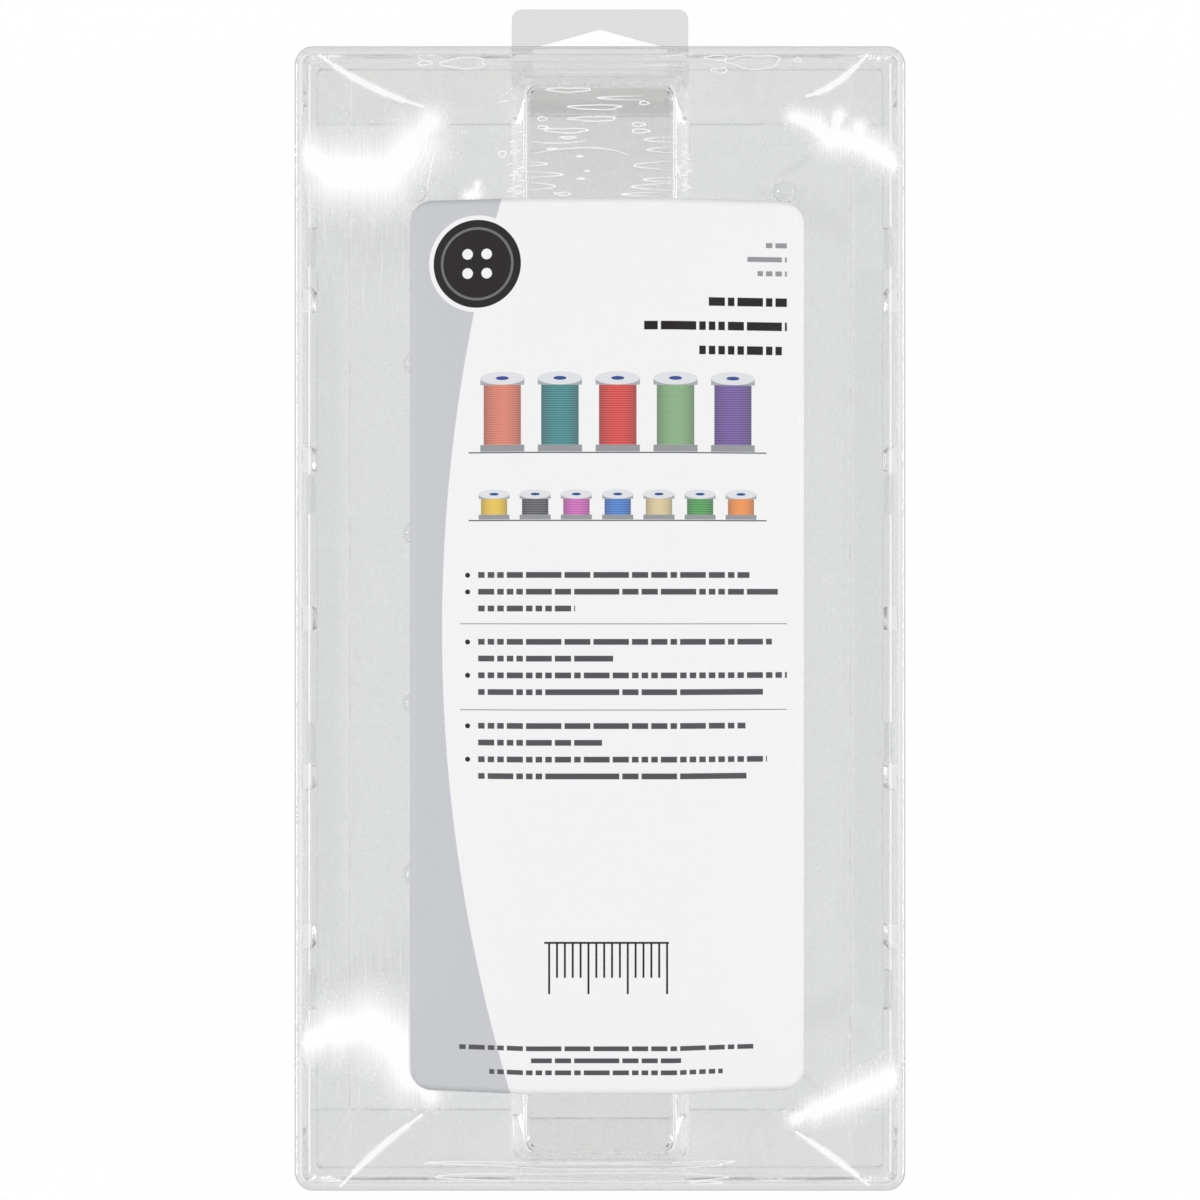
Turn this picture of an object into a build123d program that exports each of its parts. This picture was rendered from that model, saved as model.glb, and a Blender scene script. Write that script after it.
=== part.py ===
from build123d import *
import os

# Clear thread box: a tapered tub with a lengthwise channel under its floor, a row of
# spindles on each side of the channel and one row on top of it, and a lift-off lid with a
# ridge that fits the channel of the box stacked above it. Millimetres, +Z up. The origin is
# on the table, under the middle of the tub; +Y runs along the box to its hanging end.

# ---- driving dimensions: the closed box ----
box_length = 228.6          # over the lid's skirt
box_width = 121.8
rim_height = 67.0           # table to the top of the lid's plate
corner_radius = 3.6

# ---- lid ----
lid_wall = 1.2              # plate and ridge
lid_seat = 0.05             # between the plate and the tub's rim
skirt_wall = 1.2
skirt_depth = 3.5           # top of the plate to the skirt's lower edge
skirt_clearance = 0.2       # between skirt and tub, each side
rib_wall = 1.1              # ring that drops inside the tub
rib_depth = 3.0             # below the plate
rib_clearance = 0.35        # ring to the tub's tapered wall, at the rim
lid_edge_round = 0.5

# ---- ridge of the lid ----
ridge_height = 9.6
ridge_base_width = 35.6
ridge_base_length = 217.0
ridge_draft = 2.8           # each side, over the height
ridge_corner = 3.0
ridge_edge_round = 0.8

# ---- tub ----
tub_wall = 1.3
floor_wall = 1.6
side_taper = 3.8            # each long side, rim to floor
end_taper = 4.3             # each end, rim to floor
tub_foot_round = 0.8

# ---- channel under the floor ----
channel_height = 9.1
channel_width = 37.0        # at the table
channel_draft = 2.15        # each side, over the height

# ---- thread slots in the long walls ----
slot_count = 5
slot_pitch = 32.0
slot_depth = 13.8           # below the tub's rim
slot_mouth = 5.4
slot_end_radius = 2.1

# ---- keys that stop the lid sliding lengthwise ----
key_count = 4               # on each long wall
key_pitch = 49.5
key_length = 7.4
key_depth = 1.2             # out of the wall
key_height = 2.2
key_top_gap = 0.3           # below the tub's rim
key_clearance = 0.3         # to the ring, each end

# ---- spindles and the bosses that hold them ----
spindle_radius = 2.4
spindle_length = 46.0       # above the boss
spindle_tip_round = 1.8
spindle_seat = 0.03         # between the shaft and its boss
spigot_radius = 1.8
spigot_clearance = 0.03     # in the socket, all round
boss_radius = 4.5
boss_height = 3.0
socket_floor = 0.8          # left under each socket
side_row_x = 38.0
side_row_count = 6
side_row_margin = 21.1      # end of the tub's foot to the first spindle
middle_row_count = 5
middle_row_margin = 29.6

# ---- hang tab on the end wall ----
tab_width = 38.1
tab_sheet = 0.3
tab_height = 12.0           # table to the middle of the flap
tab_foot_height = 14.0      # of the part bonded to the end wall
tab_foot_corner = 2.0
tab_lip = 1.0               # from the bonded sheet to the crease
tab_crease_gap = 0.4
flap_length = 20.0
flap_corner = 2.2
hole_margin = 4.3           # end of the flap to the hole's peak
hole_width = 29.0
hole_peak = 4.0             # rise of the sloped edges
hole_side = 4.6             # height of the straight sides
hole_corner = 1.4

# ---- shrink film over the lid ----
film_sheet = 0.15
film_gap = 0.05             # between film and lid

# ---- label on the film ----
label_sheet = 0.15
label_width = 78.2
label_length = 176.7
label_corner = 4.4
label_x = 1.4
label_y = -5.4

# ---- heights and outlines worked out from these ----
lid_underside = rim_height - lid_wall
tub_height = lid_underside - lid_seat
rim_width = box_width - 2 * (skirt_wall + skirt_clearance)
rim_length = box_length - 2 * (skirt_wall + skirt_clearance)
rim_corner = corner_radius - skirt_wall - skirt_clearance
foot_width = rim_width - 2 * side_taper
foot_length = rim_length - 2 * end_taper
inner_corner = max(rim_corner - tub_wall, 0.5)
ridge_top_width = ridge_base_width - 2 * ridge_draft
ridge_top_length = ridge_base_length - 2 * ridge_draft
ridge_top_z = rim_height + ridge_height
channel_roof = channel_height + floor_wall


def tub_width_at(z):
    """Outside width of the tapered tub at a height."""
    return foot_width + 2 * side_taper * z / tub_height


def tub_length_at(z):
    """Outside length of the tapered tub at a height."""
    return foot_length + 2 * end_taper * z / tub_height


def row_of(x, count, margin):
    """Evenly spaced places along Y, with the same margin at both ends of the foot."""
    reach = foot_length / 2 - margin
    return [(x, reach * (2 * index / (count - 1) - 1)) for index in range(count)]


left_row = row_of(-side_row_x, side_row_count, side_row_margin)
right_row = row_of(side_row_x, side_row_count, side_row_margin)
middle_row = row_of(0, middle_row_count, middle_row_margin)


def channel_section(wall):
    """Half the widths of the channel, at the table and at its roof, with a wall around it."""
    slope = channel_draft / channel_height
    low = channel_width / 2 + wall
    return low, low - slope * (channel_height + wall)


os.makedirs("parts", exist_ok=True)


# ---- the tub's hollow, with the channel's hump standing up into it ----
hump_low, hump_high = channel_section(floor_wall)
with BuildPart() as tub_hollow:
    with BuildSketch(Plane.XY.offset(floor_wall)):
        RectangleRounded(
            tub_width_at(floor_wall) - 2 * tub_wall,
            tub_length_at(floor_wall) - 2 * tub_wall,
            inner_corner,
        )
    with BuildSketch(Plane.XY.offset(tub_height)):
        RectangleRounded(rim_width - 2 * tub_wall, rim_length - 2 * tub_wall, inner_corner)
    loft(ruled=True)
    with BuildSketch(Plane.XZ):
        Polygon(
            (-hump_low, 0),
            (hump_low, 0),
            (hump_high, channel_roof),
            (-hump_high, channel_roof),
            align=None,
        )
    extrude(amount=box_length, both=True, mode=Mode.SUBTRACT)


# ---- tub ----
duct_low, duct_high = channel_section(0)
with BuildPart() as tub:
    with BuildSketch(Plane.XY):
        RectangleRounded(foot_width, foot_length, rim_corner)
    with BuildSketch(Plane.XY.offset(tub_height)):
        RectangleRounded(rim_width, rim_length, rim_corner)
    loft(ruled=True)
    fillet(tub.faces().sort_by(Axis.Z)[0].edges(), tub_foot_round)
    add(tub_hollow.part, mode=Mode.SUBTRACT)

    # the channel runs out through both end walls
    with BuildSketch(Plane.XZ):
        Polygon(
            (-duct_low, 0),
            (duct_low, 0),
            (duct_high, channel_height),
            (-duct_high, channel_height),
            align=None,
        )
    extrude(amount=box_length, both=True, mode=Mode.SUBTRACT)

    # bosses on the floor and on the channel's roof
    with BuildSketch(Plane.XY.offset(floor_wall)):
        with Locations(*left_row, *right_row):
            Circle(boss_radius)
    extrude(amount=boss_height)
    with BuildSketch(Plane.XY.offset(channel_roof)):
        with Locations(*middle_row):
            Circle(boss_radius)
    extrude(amount=boss_height)

    # blind sockets in the bosses
    with BuildSketch(Plane.XY.offset(socket_floor)):
        with Locations(*left_row, *right_row):
            Circle(spigot_radius + spigot_clearance)
    extrude(amount=floor_wall + boss_height, mode=Mode.SUBTRACT)
    with BuildSketch(Plane.XY.offset(channel_height + socket_floor)):
        with Locations(*middle_row):
            Circle(spigot_radius + spigot_clearance)
    extrude(amount=floor_wall + boss_height, mode=Mode.SUBTRACT)

    # keys on the inside of the long walls
    with BuildSketch(Plane.XY.offset(tub_height - key_top_gap)):
        with GridLocations(rim_width - 2 * tub_wall, key_pitch, 2, key_count):
            Rectangle(2 * key_depth, key_length)
    extrude(amount=-key_height)

    # thread slots, open at the rim, through both long walls at once
    slot_end_z = tub_height - slot_depth + slot_end_radius
    with BuildSketch(Plane.YZ):
        with GridLocations(slot_pitch, 0, slot_count, 1):
            Polygon(
                (-slot_end_radius, slot_end_z),
                (slot_end_radius, slot_end_z),
                (slot_mouth / 2, tub_height),
                (-slot_mouth / 2, tub_height),
                align=None,
            )
            with Locations((0, slot_end_z)):
                Circle(slot_end_radius)
    extrude(amount=box_width, both=True, mode=Mode.SUBTRACT)
tub.part.label = "tub"
export_step(tub.part, "parts/tub.step")


# ---- spindles, each with a spigot in its boss ----
def make_spindle(name, x, y, seat):
    """A round spindle: its shaft stands over the boss, its spigot fills the socket."""
    with BuildPart() as spindle:
        with BuildSketch(Plane((x, y, seat))):
            Circle(spindle_radius)
        extrude(amount=spindle_length)
        fillet(spindle.edges().sort_by(Axis.Z)[-1], spindle_tip_round)
        with BuildSketch(Plane((x, y, seat))):
            Circle(spigot_radius)
        extrude(amount=-(boss_height + floor_wall - socket_floor))
    spindle.part.label = name
    export_step(spindle.part, f"parts/{name}.step")


rows = [
    ("left", left_row, floor_wall + boss_height + spindle_seat),
    ("middle", middle_row, channel_roof + boss_height + spindle_seat),
    ("right", right_row, floor_wall + boss_height + spindle_seat),
]
for row_name, row_places, row_seat in rows:
    for number, (spindle_x, spindle_y) in enumerate(row_places, start=1):
        make_spindle(f"{row_name}_spindle_{number}", spindle_x, spindle_y, row_seat)


# ---- lid ----
rib_width = rim_width - 2 * (tub_wall + rib_clearance)
rib_length = rim_length - 2 * (tub_wall + rib_clearance)
with BuildPart() as lid:
    with BuildSketch(Plane.XY.offset(rim_height)):
        RectangleRounded(box_width, box_length, corner_radius)
    extrude(amount=-skirt_depth)
    fillet(lid.faces().sort_by(Axis.Z)[-1].edges(), lid_edge_round)

    # ridge along the middle
    with BuildSketch(Plane.XY.offset(rim_height)):
        RectangleRounded(ridge_base_width, ridge_base_length, ridge_corner)
    with BuildSketch(Plane.XY.offset(ridge_top_z)):
        RectangleRounded(ridge_top_width, ridge_top_length, ridge_corner)
    loft(ruled=True)
    fillet(lid.faces().sort_by(Axis.Z)[-1].edges(), ridge_edge_round)

    # hollow inside the skirt
    with BuildSketch(Plane.XY.offset(lid_underside)):
        RectangleRounded(
            box_width - 2 * skirt_wall, box_length - 2 * skirt_wall, corner_radius - skirt_wall
        )
    extrude(amount=-skirt_depth, mode=Mode.SUBTRACT)

    # hollow inside the ridge
    with BuildSketch(Plane.XY.offset(lid_underside)):
        RectangleRounded(
            ridge_base_width - 2 * lid_wall,
            ridge_base_length - 2 * lid_wall,
            ridge_corner - lid_wall,
        )
    with BuildSketch(Plane.XY.offset(ridge_top_z - lid_wall)):
        RectangleRounded(
            ridge_top_width - 2 * lid_wall,
            ridge_top_length - 2 * lid_wall,
            ridge_corner - lid_wall,
        )
    loft(ruled=True, mode=Mode.SUBTRACT)

    # ring that drops inside the tub, broken where the keys stand
    with BuildSketch(Plane.XY.offset(lid_underside)):
        RectangleRounded(rib_width, rib_length, rim_corner)
        RectangleRounded(
            rib_width - 2 * rib_wall,
            rib_length - 2 * rib_wall,
            inner_corner,
            mode=Mode.SUBTRACT,
        )
        with GridLocations(rib_width, key_pitch, 2, key_count):
            Rectangle(4 * rib_wall, key_length + 2 * key_clearance, mode=Mode.SUBTRACT)
    extrude(amount=-rib_depth)
lid.part.label = "lid"
export_step(lid.part, "parts/lid.step")


# ---- shrink film, slit along the skirt: taut from the ridge to the rim ----
def film_form(distance):
    """The solid under the film, grown from the lid by a distance."""
    with BuildPart() as form:
        with BuildSketch(Plane.XY.offset(rim_height - skirt_depth)):
            RectangleRounded(
                box_width + 2 * distance, box_length + 2 * distance, corner_radius + distance
            )
        extrude(amount=skirt_depth + distance)
        with BuildSketch(Plane.XY.offset(rim_height + distance)):
            RectangleRounded(
                box_width + 2 * distance, box_length + 2 * distance, corner_radius + distance
            )
        with BuildSketch(Plane.XY.offset(ridge_top_z + distance)):
            RectangleRounded(ridge_top_width, ridge_top_length, ridge_corner)
        loft(ruled=True)
    return form.part


with BuildPart() as shrink_film:
    add(film_form(film_gap + film_sheet))
    add(film_form(film_gap), mode=Mode.SUBTRACT)
shrink_film.part.label = "shrink_film"
export_step(shrink_film.part, "parts/shrink_film.step")


# ---- label, stuck on the film and bent over the ridge with it ----
film_rise = film_gap + film_sheet
label_under = ridge_top_z + film_rise
half_ridge = ridge_top_width / 2
half_box = box_width / 2 + film_rise
label_reach = label_width / 2 + abs(label_x) + label_corner
label_drop = ridge_height * (label_reach - half_ridge) / (half_box - half_ridge)
with BuildPart() as label:
    with BuildSketch(Plane.XZ):
        Polygon(
            (-label_reach, label_under - label_drop),
            (-half_ridge, label_under),
            (half_ridge, label_under),
            (label_reach, label_under - label_drop),
            (label_reach, label_under - label_drop + label_sheet),
            (half_ridge, label_under + label_sheet),
            (-half_ridge, label_under + label_sheet),
            (-label_reach, label_under - label_drop + label_sheet),
            align=None,
        )
    extrude(amount=box_length / 2, both=True)
    with BuildSketch(Plane.XY.offset(rim_height)):
        with Locations((label_x, label_y)):
            RectangleRounded(label_width, label_length, label_corner)
    extrude(amount=2 * ridge_height, mode=Mode.INTERSECT)
label.part.label = "label"
export_step(label.part, "parts/label.step")


# ---- hang tab: a foot bonded to the end wall, and a flap beyond its crease ----
wall_at_tab = tub_length_at(tab_height) / 2
wall_at_bend = tub_length_at(tab_height - tab_sheet / 2) / 2
wall_at_corner = tub_length_at(tab_height + tab_sheet / 2) / 2
wall_at_foot = tub_length_at(tab_height + tab_foot_height) / 2
lip_end = wall_at_tab + tab_sheet + tab_lip
with BuildPart() as hang_tab_foot:
    with BuildSketch(Plane.YZ):
        Polygon(
            (wall_at_foot, tab_height + tab_foot_height),
            (wall_at_bend, tab_height - tab_sheet / 2),
            (lip_end, tab_height - tab_sheet / 2),
            (lip_end, tab_height + tab_sheet / 2),
            (wall_at_corner + tab_sheet, tab_height + tab_sheet / 2),
            (wall_at_foot + tab_sheet, tab_height + tab_foot_height),
            align=None,
        )
    extrude(amount=tab_width / 2, both=True)
    fillet(
        hang_tab_foot.edges().filter_by(Axis.Y).group_by(Axis.Z)[-1],
        tab_foot_corner,
    )
hang_tab_foot.part.label = "hang_tab_foot"
export_step(hang_tab_foot.part, "parts/hang_tab_foot.step")

flap_start = lip_end + tab_crease_gap
flap_end = flap_start + flap_length
with BuildPart() as hang_tab_flap:
    with BuildSketch(Plane.XY.offset(tab_height - tab_sheet / 2)) as flap_outline:
        with Locations((0, flap_start)):
            Rectangle(tab_width, flap_length, align=(Align.CENTER, Align.MIN))
        fillet(flap_outline.vertices().group_by(Axis.Y)[-1], flap_corner)
    extrude(amount=tab_sheet)
    peak = flap_end - hole_margin
    with BuildSketch(Plane.XY.offset(tab_height - tab_sheet / 2)) as hole_outline:
        Polygon(
            (0, peak),
            (-hole_width / 2, peak - hole_peak),
            (-hole_width / 2, peak - hole_peak - hole_side),
            (hole_width / 2, peak - hole_peak - hole_side),
            (hole_width / 2, peak - hole_peak),
            align=None,
        )
        fillet(hole_outline.vertices(), hole_corner)
    extrude(amount=tab_sheet, mode=Mode.SUBTRACT)
hang_tab_flap.part.label = "hang_tab_flap"
export_step(hang_tab_flap.part, "parts/hang_tab_flap.step")
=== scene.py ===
# %% [markdown]
# # A clear thread box, closed and ready for the shop
#
# The object is a clear moulded box for thread. Its tub holds rows of upright spindles, its lid
# has a long hollow ridge, and it is sold with clear film drawn tight over the lid, a printed
# label on the film and a clear hang tab behind its upper end. Nearly all of it is transparent,
# so this lesson is mostly about clear plastic: what bends light, what only dims it, and what a
# thin wrinkled film does on top.
#
# The tub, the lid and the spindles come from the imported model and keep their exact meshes.
# They only get better materials. The film, the label and the hang tab are thin sheets, and
# are made again here, because their looks lie in curves, folds and print.

import math
import random

import bmesh
import bpy
import numpy as np
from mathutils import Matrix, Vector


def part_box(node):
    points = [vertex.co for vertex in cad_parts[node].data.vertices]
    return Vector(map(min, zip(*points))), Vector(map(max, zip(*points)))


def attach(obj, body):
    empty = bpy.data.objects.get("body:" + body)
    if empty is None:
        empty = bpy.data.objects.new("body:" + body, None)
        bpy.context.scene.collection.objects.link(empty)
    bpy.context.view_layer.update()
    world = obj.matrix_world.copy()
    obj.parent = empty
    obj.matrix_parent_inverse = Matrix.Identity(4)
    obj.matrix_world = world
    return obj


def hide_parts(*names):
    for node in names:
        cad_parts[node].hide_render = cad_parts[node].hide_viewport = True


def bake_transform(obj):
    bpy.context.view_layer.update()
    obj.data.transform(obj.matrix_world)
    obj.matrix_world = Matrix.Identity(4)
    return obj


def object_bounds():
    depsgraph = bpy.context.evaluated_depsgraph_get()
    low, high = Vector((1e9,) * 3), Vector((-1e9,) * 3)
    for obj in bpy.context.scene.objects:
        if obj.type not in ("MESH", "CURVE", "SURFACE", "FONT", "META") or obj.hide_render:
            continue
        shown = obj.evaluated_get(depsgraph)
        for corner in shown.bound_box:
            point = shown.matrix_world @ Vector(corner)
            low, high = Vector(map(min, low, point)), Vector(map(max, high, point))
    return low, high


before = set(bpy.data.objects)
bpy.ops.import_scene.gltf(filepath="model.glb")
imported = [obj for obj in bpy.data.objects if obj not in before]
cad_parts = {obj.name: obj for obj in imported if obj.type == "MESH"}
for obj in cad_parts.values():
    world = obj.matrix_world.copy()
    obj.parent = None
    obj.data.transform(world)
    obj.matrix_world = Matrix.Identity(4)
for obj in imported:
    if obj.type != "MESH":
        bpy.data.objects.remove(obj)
cad_low, cad_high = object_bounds()
MM = 0.001
print("packed model, mm:", [round((b - a) / MM, 1) for a, b in zip(cad_low, cad_high)])

# %% [markdown]
# ## Measures read from the model
#
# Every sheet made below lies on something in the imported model, so its size is read from there
# and not typed in again. The flat top of the ridge is found among the lid's own vertices: it is
# the box around those that lie at the very top.

# %% Read the measures
tub_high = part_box("tub")[1]
lid_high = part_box("lid")[1]
film_low, film_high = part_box("shrink_film")
label_low, label_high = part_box("label")
foot_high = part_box("hang_tab_foot")[1]
flap_low, flap_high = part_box("hang_tab_flap")

flat_within = 0.05 * MM         # points this near the very top are on the flat top
lid_points = np.array([v.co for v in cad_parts["lid"].data.vertices])
ridge_top = lid_points[lid_points[:, 2] > lid_high.z - flat_within]
ridge_half_x = ridge_top[:, 0].max()
ridge_half_y = ridge_top[:, 1].max()
print("rim, mm:", round(2 * tub_high.x / MM, 2), "x", round(2 * tub_high.y / MM, 2))
print("flat top of the ridge, mm:", round(2 * ridge_half_x / MM, 1), round(2 * ridge_half_y / MM, 1))

# %% [markdown]
# ## Shader maths as Python
#
# A pattern on a surface is a formula over its points. `Value` wraps a socket that holds a
# number, and its operators add Math nodes, so `1 - mask` in Python becomes a Subtract node.
# `Finish` is one material in the making. Its `node` method adds any other node: the settings
# go in first, then the values or links of the sockets.


# %% Wrap a socket and a material
class Value:
    """A number that can change over a surface. Operators on it add Math nodes."""

    def __init__(self, finish, socket):
        self.finish = finish
        self.socket = socket

    def maths(self, operation, *values):
        sockets = dict(enumerate(values))
        return self.finish.node("ShaderNodeMath", {"operation": operation}, sockets)

    def __add__(self, other):
        return self.maths("ADD", self, other)

    def __sub__(self, other):
        return self.maths("SUBTRACT", self, other)

    def __rsub__(self, other):
        return self.maths("SUBTRACT", other, self)

    def __mul__(self, other):
        return self.maths("MULTIPLY", self, other)

    def __truediv__(self, other):
        return self.maths("DIVIDE", self, other)

    def __pow__(self, other):
        return self.maths("POWER", self, other)

    def __abs__(self):
        return self.maths("ABSOLUTE", self)

    __radd__ = __add__
    __rmul__ = __mul__

    def clamp(self):
        return self.finish.node("ShaderNodeClamp", {}, {"Value": self})

    def lower(self, other):
        return self.maths("MINIMUM", self, other)

    def higher(self, other):
        return self.maths("MAXIMUM", self, other)

    def floor(self):
        return self.maths("FLOOR", self)

    def fraction(self):
        return self.maths("FRACT", self)

    def root(self):
        return self.maths("SQRT", self)


class Finish:
    """One material in the making."""

    def __init__(self, owner):
        self.owner = owner
        owner.use_nodes = True
        self.tree = owner.node_tree
        self.tree.nodes.clear()

    def node(self, kind, settings, sockets, out=0):
        """Add a node: its settings, then the values or links of its sockets."""
        made = self.tree.nodes.new(kind)
        target = getattr(made, "color_ramp", made)
        for name, setting in settings.items():
            if name == "stops":
                self.set_stops(target, setting)
            else:
                setattr(target, name, setting)
        for name, value in sockets.items():
            if isinstance(value, Value):
                self.tree.links.new(value.socket, made.inputs[name])
            else:
                made.inputs[name].default_value = value
        return Value(self, made.outputs[out]) if made.outputs else made

    def set_stops(self, ramp, stops):
        """Stops of a colour ramp, as (position, colour) pairs."""
        while len(ramp.elements) < len(stops):
            ramp.elements.new(1.0)
        for element, (position, colour) in zip(ramp.elements, stops):
            element.position = position
            element.color = colour

    def place(self, scale=(1, 1, 1)):
        """The point on the piece, in metres times a scale for each axis."""
        point = self.node("ShaderNodeTexCoord", {}, {}, "Object")
        return self.vector("MULTIPLY", point, scale)

    def vector(self, operation, first, second, out=0):
        """A Vector Math node on two points."""
        sockets = {0: first, 1: second}
        return self.node("ShaderNodeVectorMath", {"operation": operation}, sockets, out)

    def axes(self, point):
        """The three coordinates of a point, each as a Value."""
        x = self.node("ShaderNodeSeparateXYZ", {}, {0: point}, "X")
        outputs = x.socket.node.outputs
        return x, Value(self, outputs["Y"]), Value(self, outputs["Z"])

    def noise(self, point, scale, detail=2.0):
        """Soft random blotches between 0 and 1."""
        sockets = {"Vector": point, "Scale": scale, "Detail": detail}
        return self.node("ShaderNodeTexNoise", {}, sockets, "Fac")

    def blend(self, share, first, second):
        """The first colour where the share is 0 and the second where it is 1."""
        sockets = {0: share, 6: first, 7: second}
        return self.node("ShaderNodeMix", {"data_type": "RGBA"}, sockets, 2)

    def mixed(self, share, first, second):
        """The first shader where the share is 0 and the second where it is 1."""
        return self.node("ShaderNodeMixShader", {}, {0: share, 1: first, 2: second})

    def stepped(self, share, colours):
        """One of some colours, by a share that runs from 0 to 1."""
        stops = [(index / len(colours), colour) for index, colour in enumerate(colours)]
        settings = {"stops": stops, "interpolation": "CONSTANT"}
        return self.node("ShaderNodeValToRGB", settings, {"Fac": share})

    def bump(self, height, distance):
        """A normal tilted by a height. The distance is what a height of 1 stands for."""
        sockets = {"Height": height, "Distance": distance}
        return self.node("ShaderNodeBump", {}, sockets, "Normal")

    def output(self, shader, kind="ShaderNodeOutputMaterial"):
        """Send the finished shader to the surface, or to the world."""
        self.node(kind, {}, {"Surface": shader})
        print("finish", self.owner.name, "with", len(self.tree.nodes), "nodes")
        return self.owner


def new_finish(name):
    """An empty material under that name."""
    return Finish(bpy.data.materials.new(name))


def grey(level, cool=0.0):
    """A grey, as a linear colour with alpha. Cool takes a little red away."""
    return (level * (1 - cool), level, level * (1 + 0.2 * cool), 1.0)


# %% [markdown]
# ## Clear moulded plastic
#
# The tub, lid and spindles are injection moulded in clear polystyrene. Such plastic bends light
# (index 1.59), takes a trace of it away, and is never quite even: melt flowing into the mould
# leaves faint long streaks and a slight orange peel. One function makes all of these, with the
# tint, the streaks and the length of the flow as its values. The streaks lie along the box,
# because the melt ran that way.


# %% Make the clear plastics
plastic_index = 1.59
streak_shade = 0.985            # the share of light that a streak lets by
peel_scale = 160.0              # dimples of the orange peel in a metre


def clear_plastic(name, tint, pitch, length, ripple, edge_highlight=None, painted_shade=None, painted_shade_tint=None):
    """Clear moulded plastic: streaks, painted highlight of matt white on edges, painted shade in
    another tint.
    """
    finish = new_finish(name)
    streaks = finish.noise(finish.place((1 / pitch, 1 / length, 1 / pitch)), 1.0, 3.0)
    peel = finish.noise(finish.place(), peel_scale, 1.0)
    colour = finish.blend(streaks, tuple(streak_shade * c for c in tint[:3]) + (1,), tint)
    # Painted shade: another tint where the shade mask is high.
    if painted_shade:
        colour = finish.blend(painted_shade(finish), colour, painted_shade_tint)
    normal = finish.bump(streaks + 0.5 * peel, ripple)
    sockets = {
        "Base Color": colour,
        "Roughness": 0.012 + 0.03 * streaks * peel,
        "IOR": plastic_index,
        "Transmission Weight": 1.0,
        "Normal": normal,
    }
    surface = finish.node("ShaderNodeBsdfPrincipled", {}, sockets)
    # Painted highlight: matt white mixed in on edges, so that they read as fine white lines.
    if edge_highlight:
        edge_white_sockets = {"Base Color": grey(0.97), "Roughness": 0.5, "Normal": normal}
        edge_white = finish.node("ShaderNodeBsdfPrincipled", {}, edge_white_sockets)
        share = (edge_highlight(finish) * (0.8 + 0.4 * streaks)).clamp()
        surface = finish.mixed(share, surface, edge_white)
    return finish.output(surface)


# %% [markdown]
# A share of matt white is mixed in on edges as a painted highlight, so that they read as fine
# white lines: on the flat top of the tub's rim and on the lid's rounded edges. The rounded ones
# are found by how far their normal leans: it is upright on a face, level on a wall and between
# the two on the rounding.
#
# Painted shade darkens the plastic's colour in places. The top of the lid's ridge is greyer than
# its plate, most at the upper end. So are the skirt, which the eye looks into on edge, and the
# plate over the thread slots. The end walls get a slight olive painted shade.


# %% Find the edges for painted highlight and the places for painted shade
def ink(distance, edge=0.08):
    """1 inside a shape and 0 outside, from a distance in millimetres."""
    return (0.5 - distance / edge).clamp()


def rising(value, start, run):
    """0 up to a start, and from there rising to 1 over a run."""
    return ((value - start) / run).clamp()


def rounded_block(x, y, half_x, half_y, corner):
    """Distance to a rectangle with round corners, round the origin."""
    past_x = abs(x) - (half_x - corner)
    past_y = abs(y) - (half_y - corner)
    outside = (past_x.higher(0) ** 2 + past_y.higher(0) ** 2).root()
    return outside + past_x.higher(past_y).lower(0) - corner


def millimetres(finish):
    """The three coordinates of the point on the piece, in millimetres."""
    return finish.axes(finish.place((1 / MM, 1 / MM, 1 / MM)))


edge_highlight_share = 0.1                      # how much painted white highlight an edge gets
steep_lean, level_lean = 0.34, 0.97
rim_depth = 0.1
ridge_z = 70.0                  # only the ridge is higher than this
dark_from, dark_run = 70.0, 35.0
skirt_x, skirt_y = 60.1, 112.7  # where the skirt starts, from the middle
slot_count, slot_pitch, slot_half = 5, 32.0, 2.5
slot_x, slot_wall = 58.9, 0.75  # the middle of a long wall's top, and half its width
end_wall_y = 108.0


def leaning(finish):
    """How upright the surface is: 1 on a level face and 0 on a wall."""
    return finish.axes(finish.node("ShaderNodeTexCoord", {}, {}, "Normal"))[2]


def lid_edge_highlight(finish):
    """Painted highlight on the rounded edges."""
    lean = leaning(finish)
    return rising(lean, steep_lean, 0.125) * ((level_lean - lean) * 12).clamp() * edge_highlight_share


def tub_rim_highlight(finish):
    """Painted highlight on the flat top of the rim."""
    return ink(tub_high.z / MM - rim_depth - millimetres(finish)[2]) * edge_highlight_share


def lid_painted_shade(finish):
    """Painted shade: the top of the ridge, most at its upper end, the skirt, and the plate over the
    slots.
    """
    x, y, z = millimetres(finish)
    flat_top = rising(z, ridge_z, 4) * rising(leaning(finish), level_lean, 0.025)
    ridge = flat_top * (0.27 + 0.6 * rising(y, dark_from, dark_run))
    ends = rising(abs(y), skirt_y, 0.4) * 0.85
    sides = rising(abs(x), skirt_x, 0.3) * 0.9
    off_slot = abs((y / slot_pitch + 0.5).fraction() - 0.5) * slot_pitch - slot_half
    off_row = abs(y) - slot_count / 2 * slot_pitch
    off_wall = abs(abs(x) - slot_x) - slot_wall
    over_slots = ink(off_slot.higher(off_row).higher(off_wall), 0.5) * 0.5
    return ridge.higher(ends).higher(sides).higher(over_slots)


def tub_painted_shade(finish):
    """Painted olive shade on the end walls."""
    return rising(abs(millimetres(finish)[1]), end_wall_y, 3)


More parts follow.
